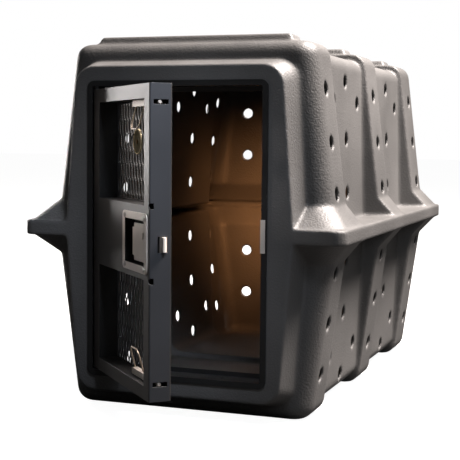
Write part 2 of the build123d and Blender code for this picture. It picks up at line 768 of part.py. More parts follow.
with BuildPart() as paddle:
    plate_u = (pin_u - paddle_width, pin_u)
    plate_z = (latch_height - paddle_height / 2, latch_height + paddle_height / 2)
    plate_front = pin_v - paddle_barrel / 2 + paddle_plate_set
    plate_v = (plate_front, plate_front + paddle_thickness)
    door_slab(plate_v, plate_u, plate_z)
    for end in plate_z:
        door_slab(
            plate_v, (plate_u[0], plate_u[0] + paddle_notch),
            sorted((end, latch_height + (end - latch_height) * (1 - 2 * paddle_notch / paddle_height))),
            mode=Mode.SUBTRACT)
    rod(door_level_plane(plate_z[0]), [(pin_u, pin_v)], paddle_barrel, paddle_height)
    spring_start = latch_height + paddle_tail_height / 2 + paddle_spring_wire
    spring_z = (spring_start, spring_start + paddle_spring_space)
    door_slab(
        (pin_v, pin_v + tail_reach),
        (pin_u - paddle_tail_thickness / 2, pin_u + paddle_tail_thickness / 2),
        (latch_height - paddle_tail_height / 2, latch_height + paddle_tail_height / 2))
    door_slab(
        (pin_v - paddle_barrel, pin_v + paddle_barrel), (pin_u - paddle_barrel, pin_u + paddle_barrel),
        spring_z, mode=Mode.SUBTRACT)
    rod(
        door_level_plane(plate_z[0]), [(pin_u, pin_v)], paddle_pin_dia + 2 * hinge_clearance,
        paddle_height, mode=Mode.SUBTRACT)
finish(paddle, "paddle")

with BuildPart() as paddle_spring:
    spring_radius = paddle_pin_dia / 2 + paddle_spring_wire / 2 + hinge_clearance
    spring_height = spring_z[1] - spring_z[0] - 2 * paddle_spring_wire
    coil_start = door_point(pin_u, pin_v, spring_z[0] + paddle_spring_wire)
    with BuildLine(Plane(origin=coil_start, x_dir=door_directions()[0], z_dir=(0, 0, 1))) as coil:
        Helix(pitch=paddle_spring_pitch * paddle_spring_wire, height=spring_height, radius=spring_radius)
    with BuildSketch(Plane(origin=coil.line @ 0, z_dir=coil.line % 0)) as wire:
        Circle(paddle_spring_wire / 2)
    sweep(wire.sketch, path=coil.line)
finish(paddle_spring, "paddle_spring")

bolt_v = (bolt_depth - bolt_thickness / 2, bolt_depth + bolt_thickness / 2)
bolt_z = (latch_height - bolt_height / 2, latch_height + bolt_height / 2)
bolt_u = (door_right + bolt_throw - bolt_length, door_right + bolt_throw)

with BuildPart() as latch_bolt:
    door_slab(bolt_v, bolt_u, bolt_z)
    door_slab(
        (bolt_v[0], bolt_v[0] + bolt_notch_depth),
        (pin_u - bolt_notch_width / 2, pin_u + bolt_notch_width / 2),
        (latch_height - bolt_notch_height / 2, latch_height + bolt_notch_height / 2), mode=Mode.SUBTRACT)
    with BuildSketch(door_level_plane(bolt_z[0])):
        with BuildLine():
            Polyline(
                (bolt_u[1], bolt_v[1] - bolt_bevel), (bolt_u[1], bolt_v[1]),
                (bolt_u[1] - bolt_bevel, bolt_v[1]), close=True)
        make_face()
    extrude(amount=bolt_height, mode=Mode.SUBTRACT)
finish(latch_bolt, "latch_bolt")

with BuildPart() as bolt_guide:
    guide_u = (door_right - door_sheet - guide_length, door_right - door_sheet)
    space = guide_wall + bolt_clearance
    door_slab(
        (bolt_v[0] - space, bolt_v[1] + space), guide_u, (bolt_z[0] - space, bolt_z[1] + space))
    door_slab(
        (bolt_v[0] - bolt_clearance, bolt_v[1] + bolt_clearance), guide_u,
        (bolt_z[0] - bolt_clearance, bolt_z[1] + bolt_clearance), mode=Mode.SUBTRACT)
finish(bolt_guide, "bolt_guide")


# Slide bolts

head_right = window_right - slide_throw - slide_head_gap
head_left = head_right - slide_head_length
slide_tip = door_right - slide_recess
half_head = slide_size / 2

for name, height in slide_heights.items():
    with BuildPart() as slide_guide:
        door_slab(
            (slide_depth + half_head + slide_clearance, mesh_front),
            (window_right - slide_guide_length, window_right), (height - half_head, height + half_head))
    finish(slide_guide, f"{name}_slide_guide")

    with BuildPart() as slide_bolt:
        door_slab(
            (slide_depth - half_head, slide_depth + half_head), (head_left, head_right),
            (height - half_head, height + half_head), slide_edge)
        rod(door_edge_plane(head_right), [(slide_depth, height)], slide_dia, slide_tip - head_right)
        outwards = Axis((axis_x, axis_y, 0), tuple(door_directions()[0]))
        chamfer(slide_bolt.faces().sort_by(outwards)[-1].edges(), slide_edge)
    finish(slide_bolt, f"{name}_slide_bolt")

    with BuildPart() as pull_loop:
        down = -1 if name == "upper" else 1
        along, through = door_directions()
        lean = radians(loop_tilt)
        hang = Vector(0, 0, down * cos(lean)) - through * sin(lean)
        root = door_point(head_left + loop_set + loop_width / 2, slide_depth, height + down * half_head)
        hanging = Plane(origin=root, x_dir=along, z_dir=along.cross(hang))
        half_loop = (loop_width - loop_wire) / 2
        reach = loop_length - loop_wire / 2
        with BuildLine(hanging) as wire_path:
            FilletPolyline(
                (-half_loop, -loop_wire / 2), (-half_loop, reach), (half_loop, reach),
                (half_loop, -loop_wire / 2), radius=loop_corner)
        with BuildSketch(Plane(origin=wire_path.line @ 0, z_dir=wire_path.line % 0)) as section:
            Circle(loop_wire / 2)
        sweep(section.sketch, path=wire_path.line)
        door_slab(
            (slide_depth - half_head, slide_depth + half_head), (head_left, head_right),
            (height - half_head, height + half_head), mode=Mode.SUBTRACT)
    finish(pull_loop, f"{name}_pull_loop")


# Badge on the upper mesh

with BuildPart() as badge:
    rod(door_face_plane(mesh_front), [(badge_place, badge_height)], badge_dia, badge_thickness)
    rod(
        door_face_plane(mesh_front), [(badge_place, badge_height)], badge_rivet_dia, badge_thickness,
        mode=Mode.SUBTRACT)
finish(badge, "badge")

with BuildPart() as badge_rivet:
    rod(
        door_face_plane(mesh_front - badge_thickness), [(badge_place, badge_height)], badge_rivet_dia,
        -badge_thickness - mesh_sheet)
    rod(
        door_face_plane(mesh_front - badge_thickness), [(badge_place, badge_height)],
        badge_rivet_head, badge_rivet_dia / 4)
finish(badge_rivet, "badge_rivet")
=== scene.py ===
"""Looks of a pet transport carrier: moulded shell, steel door, latch, grilles and their finishes."""
import json
import logging
import math
from dataclasses import dataclass
from enum import Enum
from typing import Callable, Mapping, Optional, Sequence, Union

import bpy
from mathutils import Matrix, Vector

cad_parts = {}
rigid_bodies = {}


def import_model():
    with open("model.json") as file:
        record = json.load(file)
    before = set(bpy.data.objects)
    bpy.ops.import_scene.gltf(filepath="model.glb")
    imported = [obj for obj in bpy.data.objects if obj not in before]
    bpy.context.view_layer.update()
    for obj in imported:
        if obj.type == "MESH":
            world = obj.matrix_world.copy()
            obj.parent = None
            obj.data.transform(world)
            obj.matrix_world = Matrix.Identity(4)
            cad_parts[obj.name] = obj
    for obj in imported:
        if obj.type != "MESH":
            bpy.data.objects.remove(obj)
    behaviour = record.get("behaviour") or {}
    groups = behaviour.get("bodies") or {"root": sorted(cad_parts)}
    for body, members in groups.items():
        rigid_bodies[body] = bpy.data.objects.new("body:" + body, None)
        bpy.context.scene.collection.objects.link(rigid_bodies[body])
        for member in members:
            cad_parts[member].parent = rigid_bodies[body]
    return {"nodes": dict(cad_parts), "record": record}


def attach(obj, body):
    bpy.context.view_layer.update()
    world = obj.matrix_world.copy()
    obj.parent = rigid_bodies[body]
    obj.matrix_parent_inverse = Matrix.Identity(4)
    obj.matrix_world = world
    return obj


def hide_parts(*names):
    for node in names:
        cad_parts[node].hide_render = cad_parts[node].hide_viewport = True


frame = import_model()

log = logging.getLogger("carrier")

Socket = bpy.types.NodeSocket
Value = Union[float, Sequence[float], Socket]


class Slot(Enum):
    """The record's material slots."""

    SHELL = "shell_plastic"
    FRAME = "black_metal"
    DOOR = "door_metal"
    STEEL = "stainless"
    BRASS = "brass"
    BUSH = "bush_plastic"


class Graph:
    """Adds nodes and links to a node tree in few words."""

    def __init__(self, tree: bpy.types.NodeTree) -> None:
        """Takes the material's or group's node tree, which starts empty."""
        self.tree = tree

    def add(
        self, kind: str, inputs: Optional[Mapping[Union[str, int], Value]] = None, **settings: object
    ) -> bpy.types.Node:
        """Adds one shader node.

        Args:
            kind: node type without its "ShaderNode" start.
            inputs: socket name or number, and the constant or the socket that feeds it.
            settings: attributes of the node itself.

        Returns:
            The new node.
        """
        node = self.tree.nodes.new("ShaderNode" + kind)
        for key, value in settings.items():
            setattr(node, key, value)
        for key, value in (inputs or {}).items():
            if isinstance(value, Socket):
                self.tree.links.new(value, node.inputs[key])
            else:
                node.inputs[key].default_value = value
        return node

    def noise(
        self, scale: Value, detail: float = 2.0, roughness: float = 0.5,
        stretch: Optional[Sequence[float]] = None
    ) -> Socket:
        """Adds a noise on the piece's own coordinates.

        Args:
            scale: how many lumps there are in a metre.
            detail: how many finer layers are added.
            roughness: how strong the finer layers are.
            stretch: scale of each coordinate, for a grain that runs one way.

        Returns:
            The noise's value, from 0 to 1.
        """
        where = self.add("TexCoord").outputs["Object"]
        if stretch is not None:
            where = self.add("Mapping", {"Vector": where, "Scale": stretch}).outputs["Vector"]
        sockets = {"Vector": where, "Scale": scale, "Detail": detail, "Roughness": roughness}
        return self.add("TexNoise", sockets).outputs["Fac"]

    def math(self, operation: str, *values: Value) -> Socket:
        """Adds a math node on the given values and returns its result."""
        return self.add("Math", dict(enumerate(values)), operation=operation).outputs["Value"]

    def window(
        self, value: Value, low: Value, high: Value, to_low: Value = 0.0, to_high: Value = 1.0
    ) -> Socket:
        """Maps value from low..high to to_low..to_high, held at both ends."""
        sockets = {"Value": value, "From Min": low, "From Max": high, "To Min": to_low, "To Max": to_high}
        return self.add("MapRange", sockets).outputs["Result"]

    def mix(self, factor: Value, first: Value, second: Value, blend: str = "MIX") -> Socket:
        """Mixes two colours.

        Args:
            factor: share of the second colour.
            first: the colour at a factor of 0.
            second: the colour at a factor of 1.
            blend: how the second colour acts on the first.

        Returns:
            The mixed colour.
        """
        node = self.add("Mix", data_type="RGBA", blend_type=blend)
        for key, value in (("Factor_Float", factor), ("A_Color", first), ("B_Color", second)):
            socket = next(s for s in node.inputs if s.identifier == key)
            if isinstance(value, Socket):
                self.tree.links.new(value, socket)
            else:
                socket.default_value = value
        return next(s for s in node.outputs if s.identifier == "Result_Color")


def start_group(
    name: str, inputs: Mapping[str, float], outputs: Mapping[str, str]
) -> tuple[Graph, bpy.types.Node, bpy.types.Node]:
    """Makes an empty shader node group.

    Args:
        name: name of the group.
        inputs: name and default of each float input.
        outputs: name and socket type (Float, Vector or Color) of each output.

    Returns:
        The group's graph, its input node and its output node.
    """
    tree = bpy.data.node_groups.new(name, "ShaderNodeTree")
    for label, default in inputs.items():
        socket = tree.interface.new_socket(name=label, in_out="INPUT", socket_type="NodeSocketFloat")
        socket.default_value = default
    for label, kind in outputs.items():
        tree.interface.new_socket(name=label, in_out="OUTPUT", socket_type="NodeSocket" + kind)
    return Graph(tree), tree.nodes.new("NodeGroupInput"), tree.nodes.new("NodeGroupOutput")


DRIFT_LOW, DRIFT_HIGH = 0.8, 1.15   # darkest and lightest tone of a large face


class Effects:
    """Node groups for the effects that several finishes use, each built once."""

    def __init__(self) -> None:
        """Builds every group."""
        self.grain = self._grain()
        self.wear = self._wear()
        self.dust = self._dust()
        self.drift = self._drift()
        self.brushing = self._brushing()

    @staticmethod
    def _grain() -> bpy.types.NodeTree:
        """Builds the pebbled skin of a moulding or a powder coat.

        Returns:
            The group.
        """
        graph, given, out = start_group(
            "moulded_grain", {"Pebble Scale": 400.0, "Fine Scale": 1500.0},
            {"Height": "Float", "Fleck": "Float"})
        pebble = graph.noise(given.outputs["Pebble Scale"], 2.0, 0.5)
        fine = graph.noise(given.outputs["Fine Scale"], 2.0, 0.6)
        height = graph.math("MULTIPLY_ADD", fine, 0.45, graph.window(pebble, 0.35, 0.68))
        graph.tree.links.new(height, out.inputs["Height"])
        graph.tree.links.new(graph.window(fine, 0.56, 0.74), out.inputs["Fleck"])
        return graph.tree

    @staticmethod
    def _wear() -> bpy.types.NodeTree:
        """Builds the mask of rubbed outer edges, with the softened normal.

        Returns:
            The group.
        """
        graph, given, out = start_group(
            "edge_wear", {"Radius": 0.002, "Breakup Scale": 60.0, "Softening": 0.003},
            {"Mask": "Float", "Normal": "Vector"})
        wide = graph.add("Bevel", {"Radius": given.outputs["Radius"]}, samples=4).outputs["Normal"]
        shape = graph.add("NewGeometry").outputs["Normal"]
        agree = graph.add("VectorMath", {0: wide, 1: shape}, operation="DOT_PRODUCT").outputs["Value"]
        edge = graph.window(agree, 0.97, 0.72)
        broken = graph.window(graph.noise(given.outputs["Breakup Scale"], 4.0, 0.65), 0.42, 0.62)
        graph.tree.links.new(graph.math("MULTIPLY", edge, broken), out.inputs["Mask"])
        soft = graph.add("Bevel", {"Radius": given.outputs["Softening"]}, samples=6).outputs["Normal"]
        graph.tree.links.new(soft, out.inputs["Normal"])
        return graph.tree

    @staticmethod
    def _dust() -> bpy.types.NodeTree:
        """Builds the mask of dust settled on faces that look up.

        Returns:
            The group.
        """
        graph, given, out = start_group("settled_dust", {"Scale": 30.0, "Amount": 0.4}, {"Mask": "Float"})
        normal = graph.add("NewGeometry").outputs["Normal"]
        up = graph.add("SeparateXYZ", {"Vector": normal}).outputs["Z"]
        clouds = graph.window(graph.noise(given.outputs["Scale"], 5.0, 0.62), 0.38, 0.7)
        settled = graph.math("MULTIPLY", graph.window(up, 0.25, 1.0), clouds)
        graph.tree.links.new(graph.math("MULTIPLY", settled, given.outputs["Amount"]), out.inputs["Mask"])
        return graph.tree

    @staticmethod
    def _drift() -> bpy.types.NodeTree:
        """Builds the slow, cloudy change of tone over a large face.

        Returns:
            The group.
        """
        graph, given, out = start_group(
            "tone_drift", {"Scale": 4.0, "Low": DRIFT_LOW, "High": DRIFT_HIGH}, {"Tone": "Float"})
        slow = graph.noise(given.outputs["Scale"], 3.0, 0.55)
        tone = graph.window(slow, 0.3, 0.7, given.outputs["Low"], given.outputs["High"])
        graph.tree.links.new(tone, out.inputs["Tone"])
        return graph.tree

    @staticmethod
    def _brushing() -> bpy.types.NodeTree:
        """Builds fine upright brush lines, with smudges for their tone.

        Returns:
            The group.
        """
        graph, given, out = start_group("brush_lines", {"Scale": 900.0}, {"Height": "Float", "Tone": "Float"})
        lines = graph.noise(given.outputs["Scale"], 3.0, 0.7, (1.0, 1.0, 0.03))
        smudge = graph.noise(35.0, 4.0, 0.6)
        graph.tree.links.new(lines, out.inputs["Height"])
        graph.tree.links.new(graph.window(smudge, 0.3, 0.75), out.inputs["Tone"])
        return graph.tree


def grey(value: float, warmth: float = 0.0) -> tuple[float, float, float, float]:
    """Returns a linear grey of that value, warm (towards red) or cool where warmth is negative."""
    return (value * (1.0 + warmth), value, value * (1.0 - warmth), 1.0)


DUST_COLOUR = grey(0.30, 0.06)
DUST_ROUGHNESS = 0.25   # added where dust covers a face fully


@dataclass(frozen=True)
class Finish:
    """A finish whose nodes come from the shared effects; lengths are in metres.

    base, fleck and worn are its colours on the whole, in the specks and on rubbed edges. pebble and fine are
    the scales of its grain, bump and bump_depth the strength and height of that grain, and softening the
    radius that edges seem to have. The shares say how much of the fleck, wear and dust shows.
    """

    name: str
    base: tuple[float, float, float, float]
    fleck: tuple[float, float, float, float]
    worn: tuple[float, float, float, float]
    rough: float = 0.5
    rough_spread: float = 0.1
    metallic: float = 0.0
    pebble: float = 400.0
    fine: float = 1500.0
    bump: float = 0.3
    bump_depth: float = 0.0002
    fleck_share: float = 0.3
    wear_radius: float = 0.002
    wear_share: float = 0.5
    softening: float = 0.0015
    dust_share: float = 0.3
    brushed: bool = False

    def build(self, effects: Effects) -> bpy.types.Material:
        """Builds the material.

        Args:
            effects: the shared node groups.

        Returns:
            The material, ready to put on a piece.
        """
        material = bpy.data.materials.new(self.name)
        material.use_nodes = True
        material.node_tree.nodes.clear()
        graph = Graph(material.node_tree)
        wear = graph.add("Group", node_tree=effects.wear)
        wear.inputs["Radius"].default_value = self.wear_radius
        wear.inputs["Softening"].default_value = self.softening
        drift = graph.add("Group", node_tree=effects.drift)
        dust = graph.add("Group", node_tree=effects.dust)
        dust.inputs["Amount"].default_value = self.dust_share
        if self.brushed:
            skin = graph.add("Group", node_tree=effects.brushing)
            fleck, height = skin.outputs["Tone"], skin.outputs["Height"]
        else:
            skin = graph.add("Group", node_tree=effects.grain)
            skin.inputs["Pebble Scale"].default_value = self.pebble
            skin.inputs["Fine Scale"].default_value = self.fine
            fleck, height = skin.outputs["Fleck"], skin.outputs["Height"]
        share = graph.math("MULTIPLY", fleck, self.fleck_share)
        colour = graph.mix(share, self.base, self.fleck)
        colour = graph.mix(1.0, colour, drift.outputs["Tone"], blend="MULTIPLY")
        colour = graph.mix(graph.math("MULTIPLY", wear.outputs["Mask"], self.wear_share), colour, self.worn)
        colour = graph.mix(dust.outputs["Mask"], colour, DUST_COLOUR)
        smooth, coarse = self.rough - self.rough_spread, self.rough + self.rough_spread
        rough = graph.window(drift.outputs["Tone"], DRIFT_LOW, DRIFT_HIGH, smooth, coarse)
        rough = graph.math("MULTIPLY_ADD", dust.outputs["Mask"], DUST_ROUGHNESS, rough)
        bump = graph.add("Bump", {"Height": height, "Strength": self.bump, "Distance": self.bump_depth,
                                  "Normal": wear.outputs["Normal"]})
        shader = graph.add("BsdfPrincipled", {
            "Base Color": colour, "Roughness": rough, "Metallic": self.metallic,
            "Normal": bump.outputs["Normal"]})
        graph.add("OutputMaterial", {"Surface": shader.outputs["BSDF"]})
        return material


SHELL_FINISH = Finish(
    "shell_plastic_finish", grey(0.100, 0.02), grey(0.21, 0.02), grey(0.16, 0.03), rough=0.50,
    rough_spread=0.06, pebble=260.0, fine=900.0, bump=0.55, bump_depth=0.0006, fleck_share=0.45,
    wear_radius=0.006, wear_share=0.25, softening=0.007, dust_share=0.12)
FRAME_FINISH = Finish(
    "black_metal_finish", grey(0.012, -0.03), grey(0.03), grey(0.10, 0.05), rough=0.42, pebble=900.0,
    fine=2500.0, bump=0.3, bump_depth=0.0001, fleck_share=0.3, wear_radius=0.0015, wear_share=0.35,
    softening=0.0008, dust_share=0.1)
DOOR_FINISH = Finish(
    "door_metal_finish", grey(0.048, 0.10), grey(0.08), grey(0.20, 0.05), rough=0.40, rough_spread=0.05,
    pebble=900.0, fine=2500.0, bump=0.3, bump_depth=0.0001, fleck_share=0.3, wear_radius=0.0012,
    wear_share=0.4, softening=0.0008, dust_share=0.1)
STEEL_FINISH = Finish(
    "stainless_finish", grey(0.55, 0.07), grey(0.42, 0.06), grey(0.75, 0.03), rough=0.34,
    rough_spread=0.06, metallic=1.0, bump=0.25, bump_depth=0.00008, fleck_share=0.4, wear_radius=0.001,
    wear_share=0.4, softening=0.0007, dust_share=0.08, brushed=True)
BRASS_FINISH = Finish(
    "brass_finish", (0.26, 0.17, 0.09, 1.0), (0.14, 0.10, 0.06, 1.0), (0.62, 0.46, 0.26, 1.0),
    rough=0.36, metallic=1.0, bump=0.25, bump_depth=0.00008, fleck_share=0.5, wear_radius=0.0008,
    wear_share=0.7, softening=0.0006, dust_share=0.08, brushed=True)
BUSH_FINISH = Finish(
    "bush_plastic_finish", grey(0.02), grey(0.04), grey(0.06), rough=0.5, pebble=1200.0, fine=3000.0,
    bump=0.2, bump_depth=0.00006, softening=0.0005, wear_radius=0.0008)
BADGE_FINISH = Finish(
    "badge_paint_finish", (0.050, 0.040, 0.014, 1.0), (0.09, 0.07, 0.03, 1.0), (0.30, 0.22, 0.10, 1.0),
    rough=0.42, metallic=0.4, pebble=1500.0, fine=4000.0, bump=0.2, bump_depth=0.00005,
    wear_radius=0.0006, wear_share=0.6, softening=0.0004, dust_share=0.08)
RIM_FINISH = Finish(
    "badge_rim_finish", (0.78, 0.66, 0.44, 1.0), (0.60, 0.48, 0.30, 1.0), (0.90, 0.82, 0.62, 1.0),
    rough=0.28, metallic=0.5, pebble=1500.0, fine=4000.0, bump=0.2, bump_depth=0.00004,
    wear_radius=0.0005, wear_share=0.6, softening=0.0004, dust_share=0.06)
WIRE_FINISH = Finish(
    "pull_wire_finish", (0.55, 0.46, 0.37, 1.0), (0.34, 0.27, 0.20, 1.0), (0.75, 0.68, 0.60, 1.0),
    rough=0.32, metallic=0.45, bump=0.2, bump_depth=0.00005, fleck_share=0.5, wear_radius=0.0008,
    wear_share=0.4, softening=0.0005, dust_share=0.05, brushed=True)
SATIN_FINISH = Finish(
    "satin_plate_finish", grey(0.62, 0.11), grey(0.50, 0.11), grey(0.74, 0.05), rough=0.42,
    rough_spread=0.06, metallic=0.15, bump=0.25, bump_depth=0.00006, pebble=900.0, fine=3500.0,
    fleck_share=0.5, wear_radius=0.0008, wear_share=0.5, softening=0.0006, dust_share=0.12,
    brushed=True)
GRILLE_FINISH = Finish(
    "grille_paint_finish", grey(0.040, -0.02), grey(0.065, -0.02), grey(0.12), rough=0.55, metallic=0.0,
    pebble=900.0, fine=2500.0, bump=0.25, bump_depth=0.00006, fleck_share=0.4, wear_radius=0.0009,
    wear_share=0.5, softening=0.0006, dust_share=0.1)
# Painted shade: near black on the walls inside the windows, standing in for the shade in those recesses.
RETURN_PAINTED_SHADE = Finish(
    "window_return_painted_shade", grey(0.004, -0.03), grey(0.008), grey(0.03), rough=0.6, pebble=900.0,
    fine=2500.0, bump=0.3, bump_depth=0.0001, wear_radius=0.001, wear_share=0.3, softening=0.0007,
    dust_share=0.05)
# Painted light: a darker, cooler copy of the door paint for the door's free edge, standing in for the cool
# lamp light on that edge.
EDGE_PAINTED_LIGHT = Finish(
    "door_edge_painted_cool_light", (0.034, 0.036, 0.041, 1.0), (0.09, 0.095, 0.11, 1.0), (0.2, 0.2, 0.21, 1.0),
    rough=0.46, rough_spread=0.05, pebble=900.0, fine=2500.0, bump=0.3, bump_depth=0.0001,
    fleck_share=0.3, wear_radius=0.001, wear_share=0.3, softening=0.0008, dust_share=0.1)
# Painted shade: a dark copy of the satin steel inside the latch's dish, standing in for the shade behind the
# flange.
DISH_PAINTED_SHADE = Finish(
    "latch_dish_painted_shade", grey(0.020, 0.05), grey(0.05, 0.05), grey(0.25, 0.05), rough=0.45,
    metallic=0.6, pebble=1200.0, fine=3000.0, bump=0.25, bump_depth=0.00006, wear_radius=0.0008,
    wear_share=0.5, softening=0.0005, dust_share=0.15)


SLOT_FINISHES = {
    Slot.SHELL: SHELL_FINISH, Slot.FRAME: FRAME_FINISH, Slot.DOOR: DOOR_FINISH,
    Slot.STEEL: STEEL_FINISH, Slot.BRASS: BRASS_FINISH, Slot.BUSH: BUSH_FINISH}


@dataclass
class CameraRig:
    """Camera in front of the door and to its right; angles in degrees, lens and sensor in millimetres."""

    place: tuple[float, float, float] = (0.8276, -2.4599, 0.5284)
    yaw: float = 20.063
    pitch: float = 4.544
    roll: float = 0.535
    lens: float = 89.79
    sensor: float = 36.0

    def build(self) -> bpy.types.Object:
        """Makes the scene's camera.

        Returns:
            The camera.
        """
        data = bpy.data.cameras.new("camera")
        data.lens = self.lens
        data.sensor_width = self.sensor
        rig = bpy.data.objects.new("camera", data)
        bpy.context.scene.collection.objects.link(rig)
        yaw = Matrix.Rotation(math.radians(self.yaw), 4, "Z")
        pitch = Matrix.Rotation(math.radians(90.0 - self.pitch), 4, "X")
        roll = Matrix.Rotation(math.radians(self.roll), 4, "Z")
        rig.matrix_world = Matrix.Translation(self.place) @ (yaw @ pitch @ roll)
        bpy.context.scene.camera = rig
        return rig


@dataclass(frozen=True)
class Lamp:
    """A soft box: its place, what it looks at, its face in metres, watts, colour and spread in degrees."""

    name: str
    place: tuple[float, float, float]
    aim: tuple[float, float, float]
    size: tuple[float, float]
    power: float
    colour: tuple[float, float, float]
    spread: float = 180.0

    def build(self) -> bpy.types.Object:
        """Adds the lamp, which the camera doesn't see.

        Returns:
            The lamp.
        """
        data = bpy.data.lights.new(self.name, "AREA")
        data.shape = "RECTANGLE"
        data.size, data.size_y = self.size
        data.energy = self.power
        data.color = self.colour
        data.spread = math.radians(self.spread)
        lamp = bpy.data.objects.new(self.name, data)
        bpy.context.scene.collection.objects.link(lamp)
        lamp.location = self.place
        lamp.visible_camera = False
        lamp.rotation_mode = "QUATERNION"
        lamp.rotation_quaternion = (Vector(self.aim) - Vector(self.place)).to_track_quat("-Z", "Y")
        return lamp


@dataclass
class Studio:
    """Pale floor, white surroundings and soft lamps."""

    floor_size: float = 60.0
    floor_drop: float = 0.0005
    floor_tone: float = 0.30
    floor_glow: float = 0.96
    floor_bounce: float = 0.03
    surround_light: float = 0.05
    lamps: tuple[Lamp, ...] = (
        Lamp("key", (1.75, 0.75, 3.5), (0.25, 0.05, 0.4), (1.8, 1.4), 780.0, (1.0, 0.91, 0.86)),
        Lamp("cool_strip", (2.5, -2.5, 1.8), (0.1, -0.5, 0.5), (0.4, 1.3), 9.0, (0.80, 0.89, 1.0)),
        Lamp("left_fill", (-2.6, -1.8, 1.6), (-0.1, -0.5, 0.35), (1.6, 1.6), 1.0, (1.0, 0.93, 0.88)),
        Lamp("left_back_fill", (-2.8, 2.0, 0.8), (-0.15, 0.0, 0.35), (1.6, 1.2), 80.0, (1.0, 0.96, 0.94)),
        Lamp("edge_light", (0.42, -1.12, 1.15), (0.06, -0.73, 0.55), (0.20, 0.20), 0.65,
             (0.80, 0.87, 1.0), spread=42.0),
        Lamp("door_light", (-1.10, -0.95, 0.72), (-0.05, -0.61, 0.50), (0.10, 0.10), 0.07,
             (1.0, 0.90, 0.84), spread=17.0),
        Lamp("cabin_glow", (0.06, -0.12, 0.62), (-0.13, 0.45, 0.32), (0.14, 0.14), 0.46,
             (1.0, 0.42, 0.15), spread=46.0),
    )

    def build(self) -> None:
        """Makes the floor, the world and the lamps."""
        self._floor()
        self._world()
        for lamp in self.lamps:
            lamp.build()
        bpy.context.scene.view_settings.view_transform = "Standard"

    def _floor(self) -> None:
        """Lays a wide floor that is near white to the camera and throws little light back on the carrier."""
        deselect()
        bpy.ops.mesh.primitive_plane_add(size=self.floor_size, location=(0.0, 0.0, -self.floor_drop))
        floor = bpy.context.active_object
        floor.name = "studio_floor"
        material = bpy.data.materials.new("studio_floor_finish")
        material.use_nodes = True
        material.node_tree.nodes.clear()
        graph = Graph(material.node_tree)
        matt = {"Roughness": 0.9, "Specular IOR Level": 0.1}
        glow = {"Emission Color": grey(1.0), "Emission Strength": self.floor_glow}
        paper = graph.add("BsdfPrincipled", {"Base Color": grey(self.floor_tone), **matt, **glow})
        plain = graph.add("BsdfPrincipled", {"Base Color": grey(self.floor_bounce), **matt})
        seen = graph.add("LightPath").outputs["Is Camera Ray"]
        chosen = graph.add("MixShader", {0: seen, 1: plain.outputs[0], 2: paper.outputs[0]})
        graph.add("OutputMaterial", {"Surface": chosen.outputs[0]})
        floor.data.materials.append(material)

    def _world(self) -> None:
        """Surrounds the carrier with white that lights it only softly."""
        world = bpy.data.worlds.new("studio")
        bpy.context.scene.world = world
        world.use_nodes = True
        world.node_tree.nodes.clear()
        graph = Graph(world.node_tree)
        seen = graph.add("Background", {"Color": grey(1.0), "Strength": 1.0})
        lit = graph.add("Background", {"Color": grey(1.0), "Strength": self.surround_light})
        straight = graph.add("LightPath").outputs["Is Camera Ray"]
        chosen = graph.add("MixShader", {0: straight, 1: lit.outputs[0], 2: seen.outputs[0]})
        graph.add("OutputWorld", {"Surface": chosen.outputs[0]})


MERGE_DISTANCE = 1e-5   # loose corners of a CAD mesh nearer than this are one
NEW_PIECE_ANGLE = 35.0   # edges of a new piece sharper than this stay sharp, in degrees


def deselect() -> None:
    """Leaves nothing selected."""
    bpy.ops.object.select_all(action="DESELECT")


def pick(obj: bpy.types.Object) -> None:
    """Leaves only this object selected, and active."""
    deselect()
    obj.select_set(True)
    bpy.context.view_layer.objects.active = obj


def apply(obj: bpy.types.Object, kind: str, **settings: object) -> None:
    """Adds a modifier and applies it.

    Args:
        obj: the object, which is left as the only one selected.
        kind: type of the modifier.
        settings: attributes of the modifier.
    """
    pick(obj)
    modifier = obj.modifiers.new(kind.lower(), kind)
    for key, value in settings.items():
        setattr(modifier, key, value)
    bpy.ops.object.modifier_apply(modifier=modifier.name)


def edit(obj: bpy.types.Object, part: str = "FACE") -> None:
    """Opens an object in edit mode with nothing selected.

    Args:
        obj: the object.
        part: what is selected in it, VERT, EDGE or FACE.
    """
    pick(obj)
    bpy.ops.object.mode_set(mode="EDIT")
    bpy.ops.mesh.select_mode(type=part)
    bpy.ops.mesh.select_all(action="DESELECT")


def done() -> None:
    """Leaves edit mode."""
    bpy.ops.object.mode_set(mode="OBJECT")


def select_faces(obj: bpy.types.Object, wanted: Callable[[bpy.types.MeshPolygon], bool]) -> None:
    """Selects some faces of the object that is in edit mode.

    Args:
        obj: the object.
        wanted: true for a face to select.
    """
    done()
    for face in obj.data.polygons:
        face.select = wanted(face)
    bpy.ops.object.mode_set(mode="EDIT")


def settle(obj: bpy.types.Object, place: Optional[Matrix] = None) -> None:
    """Puts an object's place into its mesh.

    Args:
        obj: the object.
        place: a further place that it is moved to first.
    """
    if place is not None:
        obj.matrix_world = place @ obj.matrix_world
    pick(obj)
    bpy.ops.object.transform_apply(location=True, rotation=True, scale=True)


def shade(obj: bpy.types.Object, degrees: float) -> None:
    """Shades an object smooth except across edges sharper than this."""
    pick(obj)
    bpy.ops.object.shade_smooth_by_angle(angle=math.radians(degrees))


def join(parts: Sequence[bpy.types.Object], name: str) -> bpy.types.Object:
    """Joins objects into one.

    Args:
        parts: the objects.
        name: name of the joined piece.

    Returns:
        The joined piece.
    """
    pick(parts[0])
    for part in parts[1:]:
        part.select_set(True)
    bpy.ops.object.join()
    piece = bpy.context.active_object
    piece.name = name
    return piece


def hand_over(piece: bpy.types.Object, body: str, slot: Slot, *nodes: str) -> None:
    """Sets a finished piece on its body and hides the CAD nodes that it stands for.

    Args:
        piece: the piece.
        body: the body that it rides on.
        slot: its material slot in the record; not used.
        nodes: the CAD nodes that it stands for.
    """
    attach(piece, body)
    if nodes:
        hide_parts(*nodes)


